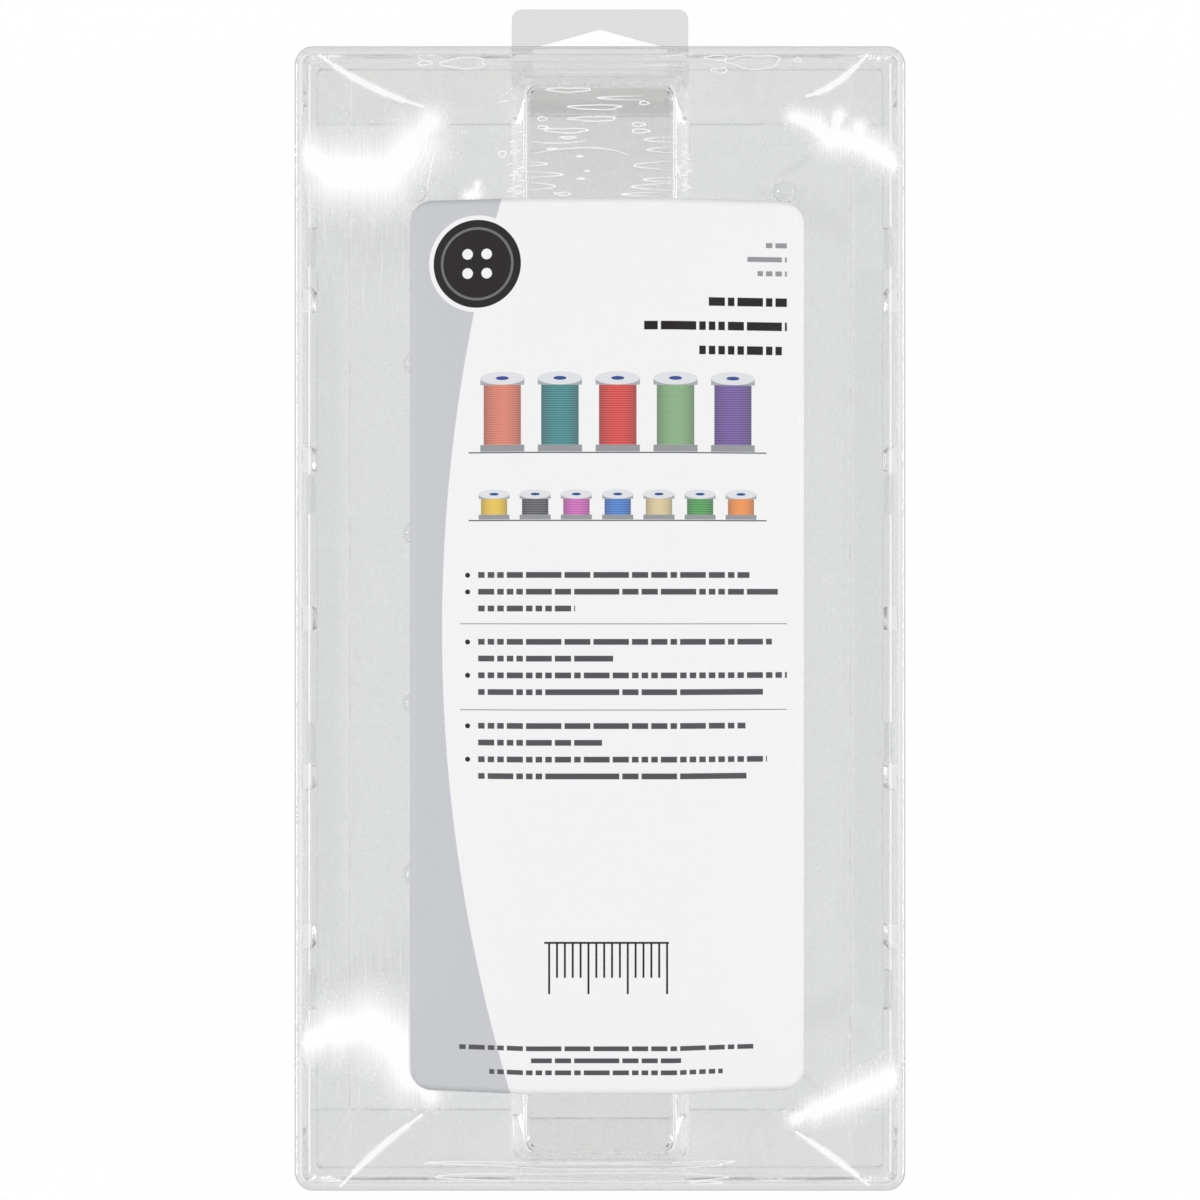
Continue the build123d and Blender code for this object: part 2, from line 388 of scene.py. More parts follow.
# The ridge and end tints below are painted shade.
lid_tint = grey(0.92, 0.004)
ridge_shade_tint = (0.762, 0.77, 0.755, 1.0)
tub_tint = grey(0.91, 0.006)
end_shade_tint = (0.908, 0.914, 0.888, 1.0)
lid_plastic = clear_plastic(
    "lid_plastic", lid_tint, 4 * MM, 60 * MM, 0.004 * MM, lid_edge_highlight, lid_painted_shade, ridge_shade_tint
)
tub_plastic = clear_plastic(
    "tub_plastic", tub_tint, 6 * MM, 80 * MM, 0.006 * MM, tub_rim_highlight, tub_painted_shade, end_shade_tint
)
spindle_plastic = clear_plastic("spindle_plastic", grey(0.97, 0.006), 2 * MM, 20 * MM, 0.004 * MM)


def dress(node, material):
    """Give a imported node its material."""
    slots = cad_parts[node].data.materials
    slots.clear()
    slots.append(material)


dress("tub", tub_plastic)
dress("lid", lid_plastic)
spindles = [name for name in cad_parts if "_spindle_" in name]
for spindle in spindles:
    dress(spindle, spindle_plastic)
print(len(spindles), "spindles dressed")

# %% [markdown]
# ## A sheet with rounded corners
#
# The film and the label are both thin sheets with rounded corners that lie over the lid. Both
# start as a flat grid. Inside each corner square the grid is squeezed into the quarter disc, by
# the usual square-to-disc formula, so its outline is round and its rows stay unbroken.


# %% Make a rounded grid
def rounded_grid(half_x, half_y, corner, step):
    """Points of a grid that fills a rounded rectangle, as two arrays, x by y."""
    along_x = np.linspace(-half_x, half_x, round(2 * half_x / step) + 1)
    along_y = np.linspace(-half_y, half_y, round(2 * half_y / step) + 1)
    x, y = np.meshgrid(along_x, along_y, indexing="ij")
    u = np.clip((abs(x) - half_x + corner) / corner, 0, 1)
    v = np.clip((abs(y) - half_y + corner) / corner, 0, 1)
    round_x = half_x - corner + corner * u * np.sqrt(1 - v * v / 2)
    round_y = half_y - corner + corner * v * np.sqrt(1 - u * u / 2)
    inside = (u > 0) & (v > 0)
    x = np.where(inside, np.sign(x) * round_x, x)
    y = np.where(inside, np.sign(y) * round_y, y)
    return x, y


def smooth(mesh):
    """Shade every face smoothly."""
    mesh.polygons.foreach_set("use_smooth", [True] * len(mesh.polygons))


def add_object(name, data):
    """Put a new object in the scene."""
    made = bpy.data.objects.new(name, data)
    bpy.context.scene.collection.objects.link(made)
    return made


def grid_object(name, x, y, z):
    """A mesh object of quads through a grid of points, facing up."""
    rows, columns = x.shape
    numbers = np.arange(rows * columns).reshape(rows, columns)
    corners = [numbers[:-1, :-1], numbers[1:, :-1], numbers[1:, 1:], numbers[:-1, 1:]]
    faces = np.stack(corners, -1).reshape(-1, 4)
    points = np.stack([x, y, z], -1).reshape(-1, 3)
    mesh = bpy.data.meshes.new(name)
    mesh.from_pydata(points.tolist(), [], faces.tolist())
    smooth(mesh)
    return add_object(name, mesh)


# %% [markdown]
# ## The shape of film drawn tight
#
# Shrink film touches only what holds it up: the flat top of the ridge and the rim of the lid.
# Between them it is a taut skin, and a taut skin has the shape in which every point lies at the
# mean height of its neighbours. So the sheet starts as straight slopes, and then each point is
# set to that mean over and over, with the ridge and the rim held. That gives the hollow,
# pulled-in corners of a real film by itself. Cloth simulation could do it too, but this is
# exact, quick and the same each time.

# %% Relax the film over the ridge
film_step = 0.75 * MM
film_round = 0.6 * MM           # how far the bend over the rim reaches in
film_corner = 3.8 * MM
film_half_x = film_high.x - film_round
film_half_y = film_high.y - film_round
plate_points = lid_points[lid_points[:, 0] > 0.9 * lid_high.x]
rim_level = film_high.z - (lid_high.z - plate_points[:, 2].max())
relax_rounds = 3000

film_x, film_y = rounded_grid(film_half_x, film_half_y, film_corner - film_round, film_step)
share_x = (abs(film_x) - ridge_half_x) / (film_half_x - ridge_half_x)
share_y = (abs(film_y) - ridge_half_y) / (film_half_y - ridge_half_y)
drop = np.clip(np.maximum(share_x, share_y), 0, 1)
held = drop == 0
for _ in range(relax_rounds):
    mean = (drop[:-2, 1:-1] + drop[2:, 1:-1] + drop[1:-1, :-2] + drop[1:-1, 2:]) / 4
    drop[1:-1, 1:-1] = mean
    drop[held] = 0
film_z = film_high.z - drop * (film_high.z - rim_level)
print("film falls", round((film_high.z - rim_level) / MM, 2), "mm from the ridge to the rim")

# %% [markdown]
# Heat pulls film unevenly, so the taut skin also waves a little. A few long waves of random
# direction are added, strongest half way down the slope and nothing where the film is held. The
# random numbers come from a fixed seed, so every run makes the same film.

# %% Wave the film a little
chance = random.Random(7)
slack = 4 * drop * (1 - drop)
wave_share = 0.0022             # the height of a wave as a share of its length
for _ in range(9):
    length = chance.uniform(9, 30) * MM
    angle = chance.uniform(-0.5, 0.5)
    phase = chance.uniform(0, 2 * math.pi)
    across = film_x * math.cos(angle) + film_y * math.sin(angle)
    film_z += wave_share * length * slack * np.sin(2 * math.pi * across / length + phase)
print("film lies between", round(film_z.min() / MM, 2), "and", round(film_z.max() / MM, 2), "mm")


def film_height(x, y):
    """Height of the film at a place, between the grid's points."""
    row = np.clip((x + film_half_x) / (2 * film_half_x), 0, 1) * (film_x.shape[0] - 1)
    column = np.clip((y + film_half_y) / (2 * film_half_y), 0, 1) * (film_x.shape[1] - 1)
    low_row = np.minimum(np.floor(row).astype(int), film_x.shape[0] - 2)
    low_column = np.minimum(np.floor(column).astype(int), film_x.shape[1] - 2)
    part_row = row - low_row
    part_column = column - low_column
    low = film_z[low_row, low_column] * (1 - part_row) + film_z[low_row + 1, low_column] * part_row
    high = film_z[low_row, low_column + 1] * (1 - part_row)
    high = high + film_z[low_row + 1, low_column + 1] * part_row
    return low * (1 - part_column) + high * part_column


# %% [markdown]
# The film turns over the rim and ends along the skirt, where it was slit. Its outline is
# extruded four times: three times round the bend and once down the skirt.


# %% Build the film's mesh
def outline_normal(x, y, half_x, half_y, corner):
    """The way out of a rounded rectangle at a point on its outline."""
    out = np.array([
        math.copysign(max(abs(x) - half_x + corner, 0), x),
        math.copysign(max(abs(y) - half_y + corner, 0), y),
    ])
    return out / np.linalg.norm(out)


film = grid_object("shrink_film_sheet", film_x, film_y, film_z)
inner_corner = film_corner - film_round
rim_turns = [(0.38, 0.16), (0.41, 0.41), (0.21, 0.43), (0.0, 1.1)]    # out and down
sheet = bmesh.new()
sheet.from_mesh(film.data)
edges = [edge for edge in sheet.edges if edge.is_boundary]
for out, down in rim_turns:
    made = bmesh.ops.extrude_edge_only(sheet, edges=edges)["geom"]
    edges = [item for item in made if isinstance(item, bmesh.types.BMEdge)]
    edges = [edge for edge in edges if edge.is_boundary]
    moved = {vertex for edge in edges for vertex in edge.verts}
    for vertex in moved:
        nx, ny = outline_normal(
            vertex.co.x, vertex.co.y, film_half_x, film_half_y, inner_corner
        )
        vertex.co.x += out * film_round * nx
        vertex.co.y += out * film_round * ny
        vertex.co.z -= down * film_round
for vertex in moved:
    vertex.co.z = film_low.z
bmesh.ops.recalc_face_normals(sheet, faces=sheet.faces)
sheet.to_mesh(film.data)
sheet.free()
smooth(film.data)
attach(film, "lid")
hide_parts("shrink_film")
print("film:", len(film.data.polygons), "faces")

# %% [markdown]
# ## Creases and blisters in the film
#
# Where too much film gathered, it has folded into slender welts, painted white all over as a
# highlight: one long crease from each corner of the rim towards the ridge, small blisters on the
# ridge, whose edges show as fine loops, and folds that run in from the ridge's flanks and turn
# back like hairpins. A welt is raised, so it is modelled: a low arch is swept along its path,
# widest in the middle and fading to nothing at the ends of an open one. All lie on the film's own
# height.

# %% Sweep welts over the film
welt_points = []
welt_faces = []
arch_steps = 4
welt_lift = 0.004 * MM


def swell(share):
    """How wide a fold is at a share of its way: nothing at both ends and 1 in the middle."""
    return math.sin(math.pi * share) ** 0.6


def add_welt(path, width, height, closed=False):
    """Sweep a low arch along a path of (x, y) points in millimetres."""
    path = np.array(path) * MM
    count = len(path)
    first = len(welt_points)
    for index, (x, y) in enumerate(path):
        ahead = path[(index + 1) % count] if closed else path[min(index + 1, count - 1)]
        behind = path[index - 1] if closed else path[max(index - 1, 0)]
        along = ahead - behind
        side = np.array([-along[1], along[0]]) / max(np.linalg.norm(along), 1e-9)
        full = 1.0 if closed else swell((index + 0.05) / (count - 0.9))
        for arch_step in range(arch_steps + 1):
            turn = math.pi * arch_step / arch_steps
            place = np.array([x, y]) + side * math.cos(turn) * width * full * MM / 2
            z = film_height(place[0], place[1]) + welt_lift
            z = min(z + math.sin(turn) * height * full * MM, cad_high.z)
            welt_points.append((place[0], place[1], z))
    rows = count if closed else count - 1
    for row in range(rows):
        near = first + row * (arch_steps + 1)
        far = first + (row + 1) % count * (arch_steps + 1)
        for arch_step in range(arch_steps):
            a, b = near + arch_step, near + arch_step + 1
            welt_faces.append((a, b, far + arch_step + 1, far + arch_step))


def bent_path(start, middle, end, steps=28):
    """Points on the curve from start, past middle, to end."""
    start, middle, end = np.array(start), np.array(middle), np.array(end)
    pull = 2 * middle - (start + end) / 2
    shares = np.linspace(0, 1, steps)[:, None]
    return (1 - shares) ** 2 * start + 2 * shares * (1 - shares) * pull + shares**2 * end


def oval_path(x, y, half_x, half_y, steps=36):
    """Points on a slightly uneven oval."""
    turns = np.linspace(0, 2 * math.pi, steps, endpoint=False)
    uneven = 1 + 0.12 * np.sin(3 * turns + x) + 0.06 * np.sin(5 * turns + y)
    across = half_x * np.cos(turns) * uneven
    up = half_y * np.sin(turns) * uneven
    return np.stack([x + across, y + up], -1)


def hairpin_path(x, y, run, gap, steps=30):
    """Points that come back round a tip at x, y. A run below 0 opens to the left."""
    turns = np.linspace(-math.pi / 2, math.pi / 2, steps)
    spread = np.sin(turns) * gap * (1 + 0.4 * (1 - np.cos(turns)))
    return np.stack([x + run * (1 - np.cos(turns)), y + spread], -1)


corner_creases = [
    ((-56.0, 112.6), (-46.4, 106.5), (-35.2, 102.0)),
    ((53.4, 112.7), (47.2, 107.0), (41.3, 104.3)),
    ((-51.8, -113.4), (-43.8, -105.6), (-35.5, -98.9)),
    ((53.6, -113.2), (46.8, -107.8), (39.2, -102.4)),
]
for start, middle, end in corner_creases:
    add_welt(bent_path(start, middle, end, 44), 0.65, 0.02)

ridge_blisters = [
    # middle x, y, half length, half width
    (-0.8, 100.9, 5.1, 0.45), (-1.2, 98.6, 4.6, 0.45), (-6.6, 96.3, 4.3, 0.42),
    (-6.2, 104.3, 4.3, 0.4), (7.6, 97.5, 1.3, 0.35), (8.0, 96.2, 1.7, 0.4), (8.7, 101.7, 0.9, 0.35),
    (-11.4, 98.6, 0.9, 0.4), (-11.3, 96.9, 1.0, 0.3), (-9.4, 92.7, 1.1, 0.14), (-6.3, 94.9, 1.5, 0.2),
    (-4.0, 91.2, 0.6, 0.12), (-2.5, 88.3, 0.5, 0.12), (-3.8, 86.8, 0.7, 0.14), (-7.3, 83.8, 1.6, 0.3),
]
rim_blisters = [
    (-27.0, 110.9, 4.3, 1.2), (-35.0, 111.0, 1.4, 0.45), (23.3, 112.0, 2.2, 0.5),
    (30.8, 111.2, 5.2, 1.4), (23.8, 109.3, 1.6, 0.5), (39.5, 111.6, 0.7, 0.4), (-19.3, 91.9, 0.7, 0.6),
    (-2.0, -111.4, 29.0, 1.0), (-1.0, -108.6, 29.4, 0.7), (21.0, -112.7, 3.2, 0.3),
]
for x, y, half_x, half_y in ridge_blisters + rim_blisters:
    add_welt(oval_path(x, y, half_x, half_y), 0.26, 0.1, closed=True)

hairpins = [
    # tip x, y, how far it runs, half the gap between its two legs
    (8.7, 94.5, 6.0, 0.4), (9.3, 92.5, 5.4, 0.42), (6.7, 89.4, 7.4, 0.6), (8.5, 86.6, 6.0, 0.35),
    (6.3, 85.2, 8.6, 0.5), (4.1, 83.7, 8.0, 0.3), (-7.2, 87.6, -8.6, 0.45), (-8.8, 85.3, -6.0, 0.55),
    (-10.3, 89.7, -4.4, 0.3), (-0.6, 102.7, 9.6, 0.3),
]
for x, y, run, gap in hairpins:
    add_welt(hairpin_path(x, y, run, gap), 0.28, 0.11)
print(len(corner_creases), "creases,", len(ridge_blisters + rim_blisters), "blisters")

# %% [markdown]
# Along both flanks of the ridge, where the film leaves the flat top, short puckers cross the
# bend. They are many, small and irregular, so they are drawn from random numbers with a fixed
# seed, within the stretches where the film is free of the label. A few long shallow folds lie
# beside the ridge's upper end and by the smear on its left.

# %% Scatter puckers along the ridge
flank = ridge_half_x / MM + 1.9
for side, upper, run, number in ((-1, 98.0, 14.0, 44), (1, 92.6, 8.6, 26)):
    for _ in range(number):
        x = side * flank + chance.uniform(-1.3, 1.3)
        y = upper - run * chance.random() ** 0.8
        reach = chance.uniform(0.2, 0.9)
        rise = chance.uniform(-0.3, 0.3)
        path = bent_path((x - reach, y), (x, y + rise), (x + reach, y + rise), 8)
        add_welt(path, chance.uniform(0.12, 0.35), 0.1)

long_folds = [
    ((-16.9, 105.2), (-18.4, 104.3), (-20.1, 103.2)),
    ((-20.4, 102.2), (-19.0, 102.5), (-17.4, 102.4)),
    ((8.0, 111.0), (13.0, 112.2), (19.8, 113.0)),
    ((6.0, 109.6), (12.0, 110.1), (17.2, 109.9)),
    ((-14.3, 91.6), (-2.0, 92.9), (6.0, 91.2)),
    ((-14.0, 94.2), (-8.0, 93.8), (-2.4, 94.4)),
    ((-32.1, 98.1), (-33.1, 92.5), (-34.4, 85.2)),
    ((-33.2, 98.4), (-34.7, 91.5), (-35.9, 86.0)),
    ((-34.4, 96.6), (-36.2, 90.5), (-37.6, 86.4)),
]
for start, middle, end in long_folds:
    add_welt(bent_path(start, middle, end), 0.25, 0.07)

welts_mesh = bpy.data.meshes.new("film_creases")
welts_mesh.from_pydata(welt_points, [], welt_faces)
smooth(welts_mesh)
welts = add_object("film_creases", welts_mesh)
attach(welts, "lid")
print("welts:", len(welt_faces), "faces")

# %% [markdown]
# ## What the film looks like
#
# A film 0.02 mm thick doesn't bend what is behind it. It only reflects a little, about 8 % when
# seen square on and far more at a low angle, and seen on edge it dims what is behind it. So its
# clear part mixes a Transparent shader with a darker one and a glossy one, by how squarely it
# faces the eye. In the four corners white is painted on the film as highlights, which stand for
# the lamps mirrored in it: broad white smears, white in the middle and fading out slowly in fine
# streaks along the box, a narrow painted bloom on each crease, and one long faint paler streak
# down each side. Painted highlight lines run where the film bends over the ridge's edges, with a
# paler painted band outside them. A pale painted band lies on the rim, and painted lines lie over
# the end walls' tops. A fine painted highlight line runs over the locating ring under the lid.
# The line is broken where the ring is broken, to clear the four keys on each long wall of the tub.
#
# Each smear is a chain of capsules, a capsule being all points within some distance of a line.
# Noise stretched along the box drags its outline a little and adds the streaks. A bloom is such
# a chain too, along its crease, with capsules that taper towards both ends.

# %% Paint the film's highlights and specks
# Capsules of painted highlight, white where lamps would be mirrored in the film.
smears = [
    # start x, y, end x, y, reach, all in millimetres
    (-60.5, 93.4, -52.7, 88.9, 9.2), (-52.7, 88.9, -42.7, 88.5, 13.3),
    (-42.7, 88.5, -36.6, 94.4, 11.3), (-36.6, 94.4, -33.8, 98.8, 6.5),
    (-26.0, 83.8, -24.6, 84.0, 2.8), (-24.6, 84.0, -24.2, 86.0, 1.6),
    (38.8, 99.9, 42.7, 98.7, 4.0), (42.7, 98.7, 46.0, 95.8, 5.2), (46.3, 96.0, 47.7, 100.4, 3.2),
    (46.0, 95.8, 51.7, 95.2, 6.8), (51.7, 95.4, 51.7, 98.0, 3.9), (51.7, 95.2, 56.0, 92.9, 6.5),
    (56.0, 92.9, 59.2, 91.0, 5.6),
    (-60.6, -85.3, -52.7, -82.3, 7.8), (-52.7, -82.3, -46.0, -81.0, 10.8),
    (-46.0, -81.0, -41.0, -84.2, 13.3), (-41.0, -84.2, -37.5, -91.0, 10.1),
    (-37.5, -91.0, -33.8, -94.7, 4.8),
    (38.8, -99.7, 42.7, -98.1, 3.4), (42.7, -98.1, 48.7, -95.8, 5.6),
    (48.7, -95.8, 59.2, -91.6, 7.2),
]
# Each crease gets a narrow painted highlight, its bloom.
bloom_reach = 1.7
bloom_parts = 6
streak_drift = 1.5              # how far a streak pulls a smear's edge along the box
smear_end, smear_fade = 60.2, 1.5
veil_x, veil_y = -26.0, 80.0    # the painted streaky highlight is strongest round the left smears
veil_reach_x, veil_reach_y = 12.0, 26.0
streak_x, streak_half = 50.1, 0.7


def near_line(finish, point, smear):
    """How deep a point lies in a capsule round a line: 1 on the line and 0 at its reach."""
    start = (smear[0], smear[1], 0)
    line = (smear[2] - smear[0], smear[3] - smear[1], 0)
    reach = smear[4]
    square = line[0] ** 2 + line[1] ** 2
    from_start = finish.vector("SUBTRACT", point, start)
    share = (finish.vector("DOT_PRODUCT", from_start, line, "Value") / square).clamp()
    scaled = {0: line, "Scale": share}
    foot = finish.node("ShaderNodeVectorMath", {"operation": "SCALE"}, scaled)
    return 1 - finish.vector("DISTANCE", from_start, foot, "Value") / reach


def chain(finish, point, smears):
    """How deep a point lies in a chain of capsules."""
    depth = near_line(finish, point, smears[0])
    for smear in smears[1:]:
        depth = depth.higher(near_line(finish, point, smear))
    return depth.clamp()


# Painted highlight lines along the ridge's edges, with a paler painted band outside them.
ridge_corner = 2.2
flank_line, flank_gap = 2.2, 0.65    # two fine lines by the bend: their middle, half their gap
flank_middle, flank_half = 1.9, 2.0


def painted_bend_highlights(x, y, uneven):
    """Painted highlight lines where the film bends over the ridge's edges, and a paler painted band
    outside them.
    """
    edge = rounded_block(x, y, ridge_half_x / MM, ridge_half_y / MM, ridge_corner)
    bend = ink(abs(edge) - 0.3, 0.2) * (0.3 + 0.8 * uneven)
    lines = ink(abs(abs(edge - flank_line) - flank_gap) - 0.06, 0.12) * 0.6 * uneven
    band = (1 - abs(edge - flank_middle) / flank_half).clamp() * 0.4 * uneven
    return bend.higher(lines).higher(band)


# Painted highlight lines and a pale band over the locating ring, the rim and the end walls.
ring_line_x = 58.08                # how far the painted highlight line over the ring lies from the middle
ring_line_half_y = 110.9
key_pitch = 49.5
key_half = 3.9
rim_band_x, rim_band_y = 59.4, 112.2      # the middle of the pale painted band on the rim
rim_band_half = 0.9
wall_y = 112.4                          # the end walls' tops
free_x, free_half = 36.0, 18.5          # where they show, on each side of the channel


def painted_rim_highlights(x, y, uneven):
    """Painted highlights: a pale band on the rim, lines over the end walls' tops, a line over the
    ring.
    """
    off_end = abs(y) - ring_line_half_y
    key = abs((y / key_pitch).fraction() - 0.5) * key_pitch - key_half
    key = key.higher(abs(y) - 2 * key_pitch)
    ring_line = ink((abs(abs(x) - ring_line_x) - 0.2).higher(off_end), 0.12) * (1 - ink(key, 0.6))
    sides = abs(abs(x) - rim_band_x) - rim_band_half
    ends = (abs(abs(y) - rim_band_y) - 1.2).higher(abs(x) - (rim_band_x - rim_band_half))
    band = ink(sides.higher(off_end).lower(ends), 0.5) * (0.12 + 0.16 * uneven)
    wall_top = (abs(abs(y) - wall_y) - 0.35).higher(abs(abs(x) - free_x) - free_half)
    wall_highlight = ink(wall_top, 0.4) * (0.3 + 0.25 * uneven)
    return (ring_line * (0.5 + 0.5 * uneven)).higher(band).higher(wall_highlight)


def painted_highlights_and_specks(finish, flat, streaks):
    """Painted highlights on the film, in smears, blooms, bends, rim lines and streaks, and specks."""
    x, y, _ = finish.axes(flat)
    columns = finish.noise(finish.place((1.6 / MM, 0.02 / MM, 0.0)), 1.0, 3.0)
    drift = finish.node("ShaderNodeCombineXYZ", {}, {1: (columns - 0.5) * streak_drift})
    depth = chain(finish, finish.vector("ADD", flat, drift), smears)
    smear = depth**2 * 1.6 * (0.85 + 0.3 * streaks) + (streaks - 0.5) * depth.lower(0.5) * 0.24
    smear = smear * ((smear_end - abs(x)) / smear_fade).clamp()
    blooms = []
    for crease in corner_creases:
        points = bent_path(*crease, bloom_parts + 1).tolist()
        for index, (start, end) in enumerate(zip(points, points[1:])):
            reach = bloom_reach * swell((index + 0.5) / bloom_parts)
            blooms.append((*start, *end, reach))
    bloom = chain(finish, flat, blooms) ** 3 * 2.2
    # A painted streaky highlight round the left smears, and a faint paler streak down each side.
    near_smears = (1 - abs(abs(y) - veil_y) / veil_reach_y).clamp()
    near_smears = near_smears * ((veil_x - x) / veil_reach_x).clamp()
    streak_highlight = ((streaks - 0.5) * 0.5).clamp() * (0.3 + 3.2 * near_smears)
    long_streak = ink(abs(abs(x) - streak_x) - streak_half, 0.6) * (0.04 + 0.1 * streaks)
    streak_highlight = streak_highlight.higher(long_streak)
    specks = finish.noise(finish.place((1.9 / MM, 1.0 / MM, 0.0)), 1.0, 0.0)
    specks = ((specks - 0.66) * 14).clamp() * (0.12 + 0.9 * depth)
    bends = painted_bend_highlights(x, y, streaks)
    rim = painted_rim_highlights(x, y, streaks)
    return smear.higher(bloom).higher(streak_highlight).higher(specks).higher(bends).higher(rim).clamp()


fold_highlight_share = 0.96                # a fold is painted white all over, as a highlight


def film_finish(name, smeared):
    """Clear film, painted white as a highlight in its smears, or all over for folds."""
    finish = new_finish(name)
    flat = finish.place((1 / MM, 1 / MM, 0))
    streaks = finish.noise(finish.place((1.9 / MM, 0.08 / MM, 0.0)), 1.0, 3.0)
    crinkle = finish.noise(flat, 0.35, 3.0)
    highlight_and_speck_share = painted_highlights_and_specks(finish, flat, streaks) if smeared else fold_highlight_share
    facing = finish.node("ShaderNodeLayerWeight", {}, {"Blend": 0.5}, "Facing")
    gleam = 0.07 + 0.45 * facing**4
    normal = finish.bump(streaks + crinkle, 0.012 * MM)
    square = finish.node("ShaderNodeBsdfTransparent", {}, {"Color": grey(0.96)})
    edgewise = finish.node("ShaderNodeBsdfTransparent", {}, {"Color": grey(0.35)})
    clear = finish.mixed(facing**3 * 0.8, square, edgewise)
    shine_sockets = {"Color": grey(0.8), "Roughness": 0.05, "Normal": normal}
    shine = finish.node("ShaderNodeBsdfAnisotropic", {}, shine_sockets)
    skin = finish.mixed(gleam, clear, shine)
    # The white shader of the painted highlights and of the specks.
    highlight_and_speck_white_sockets = {"Base Color": grey(0.98), "Roughness": 0.35, "Normal": normal}
    highlight_and_speck_white = finish.node("ShaderNodeBsdfPrincipled", {}, highlight_and_speck_white_sockets)
    return finish.output(finish.mixed(highlight_and_speck_share, skin, highlight_and_speck_white))


film.data.materials.append(film_finish("clear_film", True))
welts.data.materials.append(film_finish("folded_film", False))

# %% [markdown]
# ## The label
#
# The label is pale coated paper, stuck on the film, so it takes the film's height and bends
# over the ridge with it. The grid is fine enough for the two bends and the round corners.

# %% Lay the label on the film
label_step = 1.3 * MM
label_corner = 4.4 * MM
label_lift = 0.03 * MM
label_sheet = 0.1 * MM
label_middle_x = (label_low.x + label_high.x) / 2
label_middle_y = (label_low.y + label_high.y) / 2
label_half_x = (label_high.x - label_low.x) / 2
label_half_y = (label_high.y - label_low.y) / 2
label_x, label_y = rounded_grid(label_half_x, label_half_y, label_corner, label_step)
label_x = label_x + label_middle_x
label_y = label_y + label_middle_y
label_z = film_height(label_x, label_y) + label_lift
label = grid_object("label_sheet", label_x, label_y, label_z)
thickness = label.modifiers.new("paper", "SOLIDIFY")
thickness.thickness = label_sheet
thickness.offset = 1.0
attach(label, "lid")
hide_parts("label")
print("label:", len(label.data.polygons), "faces")

# %% [markdown]
# The print is drawn by formulas in millimetres, so it is sharp at any distance. A shape is a
# distance, less than 0 inside it, and `ink` turns a distance into ink with a narrow soft edge.
# `lay` puts shapes down one over the other.
# The layout is a plain one: a grey band bounded by a large arc, a four-hole button, a shelf of
# spools and bobbins, blocks of grey bars, two rules and a plain scale with ticks.


# %% Shapes for the print
def block(x, y, middle_x, middle_y, half_x, half_y):
    """Distance to a rectangle."""
    return (abs(x - middle_x) - half_x).higher(abs(y - middle_y) - half_y)


def disc(x, y, middle_x, middle_y, radius):
    """Distance to a disc."""
    return ((x - middle_x) ** 2 + (y - middle_y) ** 2).root() - radius


def bars(finish, x, y, top, pitch, lines, height):
    """Distance to rows of short bars with random gaps, from a top line down, as (start, end)."""
    row = ((top - y) / pitch).floor()
    off_row = abs(((top - y) / pitch).fraction() - 0.5) * pitch - height / 2
    place = (row + 0.5) / len(lines)
    span = 100.0
    start = finish.stepped(place, [grey((line[0] + span / 2) / span) for line in lines])
    end = finish.stepped(place, [grey((line[1] + span / 2) / span) for line in lines])
    start = start * span - span / 2
    end = end * span - span / 2
    word = 1.9
    cell = (x / word).floor()
    point = finish.node("ShaderNodeCombineXYZ", {}, {0: cell, 1: row + 0.5})
    drawn = finish.node("ShaderNodeTexWhiteNoise", {}, {"Vector": point}, "Value")
    gap = (0.6 - (x / word).fraction() * word).lower((drawn - 0.45) * 9)
    outside = abs(place - 0.5) * 2 - 1
    return (start - x).higher(x - end).higher(off_row).higher(gap).higher(outside * 99)


def lay(finish, sheet, layers):
    """Lay (distance, colour) shapes over a sheet's colour, in order."""
    for distance, colour in layers:
        sheet = finish.blend(ink(distance), sheet, colour)
    return sheet


def screen(red, green, blue):
    """A linear colour from screen values, 0 to 255."""
    parts = [part / 255 for part in (red, green, blue)]
    return tuple(p / 12.92 if p < 0.04 else ((p + 0.055) / 1.055) ** 2.4 for p in parts) + (1,)


# %% [markdown]
# The spools repeat at an even pitch, so one spool is drawn in a cell and the cell repeats. The
# number of the cell picks the thread's colour. Each spool has a foot, a wound body shaded round
# its sides, an upper flange and a top seen from a little above, with its bore.


# %% Draw a shelf of spools
def shelf(finish, x, y, sheet, left, base, pitch, width, height, threads):
    """Lay a row of spools over the sheet's colour."""
    cell = (x - left) / pitch
    share = cell.floor() / len(threads) + 0.5 / len(threads)
    across = cell.fraction() * pitch - pitch / 2
    row_half = len(threads) * pitch / 2
    ends = abs(x - left - row_half) - row_half
    rim = 0.09 * width
    oval = 0.11 * width
    thread = finish.stepped(share, threads)
    turns = (abs(across) / (width / 2)) ** 2 * 0.5
    wound = finish.blend(turns.clamp(), thread, screen(30, 30, 40))
    line = abs((y * 2.2).fraction() - 0.5) * 0.3
    wound = finish.blend(line.clamp(), wound, screen(255, 255, 255))
    layers = [
        (block(across, y, 0, base + rim, width / 2 + rim, rim), screen(150, 152, 156)),
        (block(across, y, 0, base + height / 2, width / 2, height / 2 - 2 * rim), wound),
        (block(across, y, 0, base + height - rim, width / 2 + rim, rim), screen(168, 170, 174)),
        (disc(across, (y - base - height) * 3.4, 0, 0, width / 2 + rim), screen(222, 223, 226)),
        (disc(across, (y - base - height) * 3.4, 0, 0, oval * 1.6), screen(60, 84, 150)),
    ]
    return lay(finish, sheet, [(distance.higher(ends), colour) for distance, colour in layers])


# %% [markdown]
# All the print is laid down in order, as a press would: paper, band, button, shelf, bars, rules
# and scale. The paper has a faint tooth, seen only in how it takes the light.

